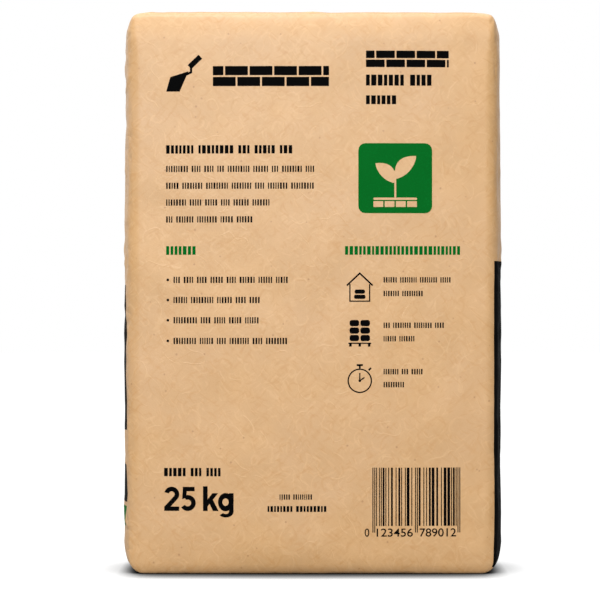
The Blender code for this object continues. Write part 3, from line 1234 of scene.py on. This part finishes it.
class CEMENTSACK_OT_badge(Operator):
    """Print the green badge with its sprout"""

    bl_idname = "cement_sack.badge"
    bl_label = "Green badge"

    def execute(self, context):
        settings = context.scene.sack_print
        wall = Wall("front")
        low, high = (0.0436, 0.3478), (0.1147, 0.4152)
        middle = (low[0] + high[0]) / 2
        ground = low[1] + 0.0150

        badge = Stencil(settings.cell)
        badge.bar(*low, *high, radius=0.0068)
        ink_film(badge, "green_badge", wall, "green_ink")

        sprout = Stencil(settings.cell)
        left, right = middle - 0.0210, middle + 0.0210
        sprout.stroke([(middle, ground), (middle, ground + 0.0260)], width=0.0018)
        sprout.leaf((middle, ground + 0.0140), (middle - 0.0190, ground + 0.0330), width=0.0130, bend=-0.002)
        sprout.leaf((middle, ground + 0.0180), (middle + 0.0200, ground + 0.0400), width=0.0140, bend=0.002)
        sprout.bar(left, ground - 0.0022, right, ground, radius=0.0010)
        sprout.courses(left, ground - 0.0090, right, ground - 0.0034, rows=1, brick=0.0094, joint=0.0014)
        ink_film(sprout, "badge_sprout", wall, "kraft_paper", layer=2)
        return {"FINISHED"}


class CEMENTSACK_OT_pictograms(Operator):
    """Print the three pictograms: sacks under a roof, stacked sacks and a stopwatch"""

    bl_idname = "cement_sack.pictograms"
    bl_label = "Pictograms"

    def execute(self, context):
        settings = context.scene.sack_print
        x = settings.right_column + 0.0142
        line = 0.0012
        icons = Stencil(settings.cell)
        self.store(icons, x, 0.2632, line)
        self.pallet(icons, x, 0.2195)
        self.stopwatch(icons, x, 0.1866, line)
        ink_film(icons, "pictograms", Wall("front"), "black_ink")
        return {"FINISHED"}

    def store(self, icons, x, foot, line):
        """Two sacks under a roof: x is the middle and foot the height of the floor."""
        eaves, walls = foot + 0.0150, foot + 0.0165
        left, right = x - 0.0095, x + 0.0095
        icons.stroke([(x - 0.0125, eaves), (x, foot + 0.0268), (x + 0.0125, eaves)], line * 1.3)
        icons.stroke([(left, walls), (left, foot), (right, foot), (right, walls)], line)
        icons.bar(x - 0.0055, foot + 0.0022, x + 0.0055, foot + 0.0062, radius=0.0016)
        icons.bar(x - 0.0050, foot + 0.0072, x + 0.0050, foot + 0.0112, radius=0.0016)

    def pallet(self, icons, x, foot):
        """Three layers of two sacks on a pallet with three feet."""
        sack, pitch = (0.0092, 0.0060), (0.0104, 0.0072)
        for row in range(3):
            low = foot + 0.0052 + row * pitch[1]
            for middle in (x - pitch[0] / 2, x + pitch[0] / 2):
                icons.bar(middle - sack[0] / 2, low, middle + sack[0] / 2, low + sack[1], radius=0.0022)
        deck = foot + 0.0026
        icons.bar(x - 0.0110, deck, x + 0.0110, deck + 0.0012)
        for middle in (x - 0.0090, x, x + 0.0090):
            icons.bar(middle - 0.0012, foot, middle + 0.0012, deck)

    def stopwatch(self, icons, x, z, line):
        """A stopwatch with its crown, its side button and two hands around the middle (x, z)."""
        case, rim = 0.0105, 0.0118
        stem, crown = z + 0.0142, z + 0.0160
        icons.ring(x, z, case, rim)
        icons.bar(x - 0.0030, stem, x + 0.0030, crown)
        icons.bar(x - 0.0008, z + rim, x + 0.0008, stem)
        icons.stroke([(x + 0.0085, z + 0.0100), (x + 0.0108, z + 0.0124)], line * 1.4)
        for tip in ((x, z + 0.0075), (x + 0.0045, z + 0.0032)):
            icons.stroke([(x, z), tip], line)
        icons.ring(x, z, 0.0, 0.0013)


class CEMENTSACK_OT_weight(Operator):
    """Print the net weight"""

    bl_idname = "cement_sack.weight"
    bl_label = "Net weight"

    def execute(self, context):
        settings = context.scene.sack_print
        left, foot = settings.left_column, 0.0612
        weight = Stencil(settings.cell)
        self.figure_two(weight, left - 0.0019, foot)
        self.figure_five(weight, left + 0.0142, foot)
        self.letter_k(weight, left + 0.0355, foot)
        self.letter_g(weight, left + 0.0500, foot)
        ink_film(weight, "net_weight", Wall("front"), "black_ink")
        return {"FINISHED"}

    def figure_two(self, weight, x, z):
        """A bow, a slant and a foot, from (x, z) to the right and up."""
        weight.ring(x + 0.00725, z + 0.01605, 0.00285, 0.00725, start=-0.62, turn=3.50)
        weight.polygon((x + 0.0002, z + 0.0042), (x + 0.0062, z + 0.0042),
                       (x + 0.01315, z + 0.01185), (x + 0.00957, z + 0.01439))
        weight.bar(x, z, x + 0.0145, z + 0.0042)

    def figure_five(self, weight, x, z):
        """A bowl, a neck and a flag."""
        weight.ring(x + 0.0066, z + 0.0077, 0.0033, 0.0077, start=-2.55, turn=4.65)
        weight.polygon((x + 0.0012, z + 0.0112), (x + 0.0052, z + 0.0128),
                       (x + 0.0058, z + 0.0200), (x + 0.0018, z + 0.0200))
        weight.bar(x + 0.0018, z + 0.0190, x + 0.0132, z + 0.0232)

    def letter_k(self, weight, x, z):
        """A stem, an arm and a leg."""
        weight.bar(x, z, x + 0.0045, z + 0.0238)
        weight.polygon((x + 0.0042, z + 0.0042), (x + 0.0146, z + 0.0172), (x + 0.0092, z + 0.0172),
                       (x + 0.0042, z + 0.0108))
        weight.polygon((x + 0.0096, z), (x + 0.0150, z), (x + 0.0094, z + 0.0112), (x + 0.0060, z + 0.0078))

    def letter_g(self, weight, x, z):
        """A bowl, a stem and a tail that hangs below the line."""
        weight.ring(x + 0.0072, z + 0.0086, 0.0030, 0.0072, tall=1.22)
        weight.bar(x + 0.0106, z - 0.0005, x + 0.0150, z + 0.0172)
        weight.ring(x + 0.0075, z - 0.0005, 0.0031, 0.0075, start=-2.50, turn=2.50, tall=0.76)


class CEMENTSACK_OT_bar_code(Operator):
    """Print a bar code of made-up bars with counting figures under it"""

    bl_idname = "cement_sack.bar_code"
    bl_label = "Bar code"

    def execute(self, context):
        settings = context.scene.sack_print
        low, high = (0.0572, 0.0469), (0.1419, 0.1030)
        guard_drop = 0.0064
        dark, long = self.random_modules()
        modules = len(dark)
        module = (high[0] - low[0]) / modules

        bars = Stencil(settings.cell)
        edges = np.flatnonzero(np.diff(np.concatenate(([0], dark.astype(int), [0]))))
        for start, end in edges.reshape(-1, 2):
            foot = low[1] - guard_drop if long[start] else low[1]
            bars.bar(low[0] + start * module, foot, low[0] + end * module, high[1])
        feet = low[1] - 0.0102
        middle = low[0] + modules // 2 * module
        for figures, start, end in (
            ("0", low[0] - 0.0075, low[0] - 0.0030),
            ("123456", low[0] + 0.0040, middle - 0.0030),
            ("789012", middle + 0.0035, high[0] - 0.0040),
        ):
            bars.figures(figures, 0.0078, start, end, feet, weight=0.008)
        ink_film(bars, "bar_code", Wall("front"), "black_ink")
        return {"FINISHED"}

    def random_modules(self):
        """Which modules are dark and which belong to a long bar: random stripes between three guards."""
        modules, stripes, guard = 95, 60, 3
        rng = np.random.default_rng(3)
        widths = rng.choice((1, 2, 3), stripes, p=(0.5, 0.3, 0.2))
        dark = np.repeat(np.arange(stripes) % 2 == 0, widths)[:modules]
        long = np.zeros(modules, bool)
        for start in (0, modules // 2 - 1, modules - guard):
            dark[start:start + guard] = (True, False, True)
            long[start:start + guard] = True
        beside_guards = [guard, modules // 2 - 2, modules // 2 + 2, modules - guard - 1]
        dark[beside_guards] = False
        return dark, long


class CEMENTSACK_OT_side_print(Operator):
    """Print the plain blocks of colour on the two side walls"""

    bl_idname = "cement_sack.side_print"
    bl_label = "Side print"

    def execute(self, context):
        settings = context.scene.sack_print
        right = Wall("right")
        panel = Stencil(settings.cell)
        panel.panel(right, right.across[0] + 0.0005, 0.0060, right.across[-1], 0.3020)
        ink_film(panel, "right_side_panel", right, "black_ink", ink=SIDE_INK)

        left = Wall("left")
        edge = left.across[-1] - 0.0140
        blocks = Stencil(settings.cell)
        for low, high in ((0.1380, 0.2790), (0.0680, 0.1045)):
            blocks.panel(left, -edge, low, edge, high)
        ink_film(blocks, "left_side_blocks", left, "black_ink", ink=SIDE_INK)
        green = Stencil(settings.cell)
        green.panel(left, -edge, 0.0450, edge, 0.0640)
        ink_film(green, "left_side_band", left, "green_ink", ink=SIDE_INK)
        return {"FINISHED"}


# Half the side of the floor, the height that the lights face, and the camera's sensor in millimetres
FLOOR_REACH = 8.0
AIM_HEIGHT = 0.3
SENSOR_WIDTH = 36.0


class CEMENTSACK_OT_stage(Operator):
    """Set the floor, the light and the camera"""

    bl_idname = "cement_sack.stage"
    bl_label = "Stage"

    def execute(self, context):
        settings = context.scene.sack_stage
        scene = context.scene
        scene.view_settings.view_transform = "Standard"
        scene.world = self.sky(settings.sky)

        side = np.linspace(-FLOOR_REACH, FLOOR_REACH, 3)
        x, y = np.meshgrid(side, side, indexing="ij")
        points = np.stack((x, y, 0.0 * x), -1).reshape(-1, 3)
        floor = make_mesh("floor", points, [quads(np.arange(9).reshape(3, 3))])
        floor.data.materials.append(self.floor_material(settings.floor_glow))

        self.softbox("key_light", (-0.30, -0.60, 2.20), size=0.7, power=settings.key_power)
        self.softbox("fill_light", (-0.30, -2.3, 1.0), size=1.2, power=settings.fill_power)

        camera = bpy.data.objects.new("camera", bpy.data.cameras.new("camera"))
        camera.data.sensor_width = SENSOR_WIDTH
        camera.data.lens = settings.lens
        camera.location = (settings.camera_across, -settings.camera_distance, settings.camera_height)
        camera.rotation_euler = (math.pi / 2, 0.0, 0.0)
        scene.collection.objects.link(camera)
        scene.camera = camera
        return {"FINISHED"}

    def sky(self, strength):
        """Soft light from all around, brighter overhead, dimmer from the sack's left and dimmest from its
        right. The camera sees plain white behind it."""
        world = bpy.data.worlds.new("studio")
        world.use_nodes = True
        tree = world.node_tree
        tree.nodes.clear()
        axes = node(tree, "ShaderNodeSeparateXYZ", node(tree, "ShaderNodeTexCoord").outputs["Generated"])
        rising = ramp(tree, axes.outputs["Z"], 0.0, 1.0, 0.72 * strength, 1.45 * strength)
        left = ramp(tree, axes.outputs["X"], -1.0, 0.0, 0.45, 1.0)
        right = ramp(tree, axes.outputs["X"], 0.0, 1.0, 1.0, 0.12)
        level = calculate(tree, "MULTIPLY", rising, calculate(tree, "MULTIPLY", left, right))
        lit = node(tree, "ShaderNodeBackground", (1.0, 1.0, 1.0, 1.0), level)
        seen = node(tree, "ShaderNodeBackground", (1.0, 1.0, 1.0, 1.0), 1.0)
        self.show(tree, "ShaderNodeOutputWorld", lit, seen)
        return world

    def show(self, tree, output, lit, seen):
        """Ends a tree: the camera sees one shader, and everything else is lit by the other."""
        camera = node(tree, "ShaderNodeLightPath").outputs["Is Camera Ray"]
        mix = node(tree, "ShaderNodeMixShader", camera, lit.outputs[0], seen.outputs[0])
        node(tree, output, mix.outputs[0])

    def floor_material(self, glow):
        """White to the camera by its own glow, with a tight painted shadow where the sack touches it, which
        is weaker past the sack's two sides, and dim to the sack, so that the floor throws little light back
        up."""
        material, tree = new_material("floor")
        tree.nodes.clear()
        # Painted shadow: near the sack, ambient occlusion darkens the floor's glow and colour, deeply under
        # the sack and less past its two sides
        near = node(tree, "ShaderNodeAmbientOcclusion", Distance=0.040, samples=32)
        axes = node(tree, "ShaderNodeSeparateXYZ", node(tree, "ShaderNodeTexCoord").outputs["Object"])
        strength = ramp(tree, calculate(tree, "ABSOLUTE", axes.outputs["X"]), 0.165, 0.190, 3.6, 0.75)
        painted_contact_shadow = calculate(tree, "POWER", near.outputs["AO"], strength)
        lamp = node(tree, "ShaderNodeEmission", Strength=calculate(tree, "MULTIPLY", painted_contact_shadow, glow))
        lit = node(tree, "ShaderNodeBsdfDiffuse", Color=calculate(tree, "MULTIPLY", painted_contact_shadow, 0.20))
        seen = node(tree, "ShaderNodeAddShader", lamp.outputs[0], lit.outputs[0])
        dim = node(tree, "ShaderNodeBsdfDiffuse", Color=(0.25, 0.25, 0.25, 1.0))
        self.show(tree, "ShaderNodeOutputMaterial", dim, seen)
        return material

    def softbox(self, name, place, size, power):
        """A square area light that faces the middle of the sack."""
        light = bpy.data.lights.new(name, "AREA")
        light.shape = "SQUARE"
        light.size = size
        light.energy = power
        obj = bpy.data.objects.new(name, light)
        obj.location = place
        aim = Vector((0.0, 0.0, AIM_HEIGHT)) - Vector(place)
        obj.rotation_euler = aim.to_track_quat("-Z", "Y").to_euler()
        bpy.context.scene.collection.objects.link(obj)


class CEMENTSACK_PT_panel(Panel):
    """The sack's settings and its pieces"""

    bl_label = "Cement Sack"
    bl_idname = "CEMENTSACK_PT_panel"
    bl_space_type = "VIEW_3D"
    bl_region_type = "UI"
    bl_category = "Cement Sack"

    def draw(self, context):
        for operator in OPERATORS:
            self.layout.operator(operator.bl_idname)
        for group in GROUPS:
            box = self.layout.box()
            for key in GROUPS[group].__annotations__:
                box.prop(getattr(context.scene, group), key)


OPERATORS = (
    CEMENTSACK_OT_sack, CEMENTSACK_OT_folds, CEMENTSACK_OT_patches, CEMENTSACK_OT_ornament,
    CEMENTSACK_OT_lines, CEMENTSACK_OT_badge, CEMENTSACK_OT_pictograms, CEMENTSACK_OT_weight,
    CEMENTSACK_OT_bar_code, CEMENTSACK_OT_side_print, CEMENTSACK_OT_stage,
)
GROUPS = {
    "sack_shape": SackShape,
    "sack_colours": PaperColours,
    "sack_print": PrintSettings,
    "sack_stage": StageSettings,
}


def register():
    """Registers every class and hangs the settings on the scene."""
    for cls in (*GROUPS.values(), *OPERATORS, CEMENTSACK_PT_panel):
        bpy.utils.register_class(cls)
    for name, group in GROUPS.items():
        setattr(bpy.types.Scene, name, PointerProperty(type=group))


def unregister():
    """Takes back what register() did."""
    for name in GROUPS:
        delattr(bpy.types.Scene, name)
    for cls in (CEMENTSACK_PT_panel, *OPERATORS, *GROUPS.values()):
        bpy.utils.unregister_class(cls)


def main():
    """Builds every piece and the stage."""
    register()
    bpy.ops.cement_sack.sack()
    bpy.ops.cement_sack.folds()
    bpy.ops.cement_sack.patches()
    bpy.ops.cement_sack.ornament()
    bpy.ops.cement_sack.lines()
    bpy.ops.cement_sack.badge()
    bpy.ops.cement_sack.pictograms()
    bpy.ops.cement_sack.weight()
    bpy.ops.cement_sack.bar_code()
    bpy.ops.cement_sack.side_print()
    bpy.ops.cement_sack.stage()


if __name__ == "__main__":
    main()
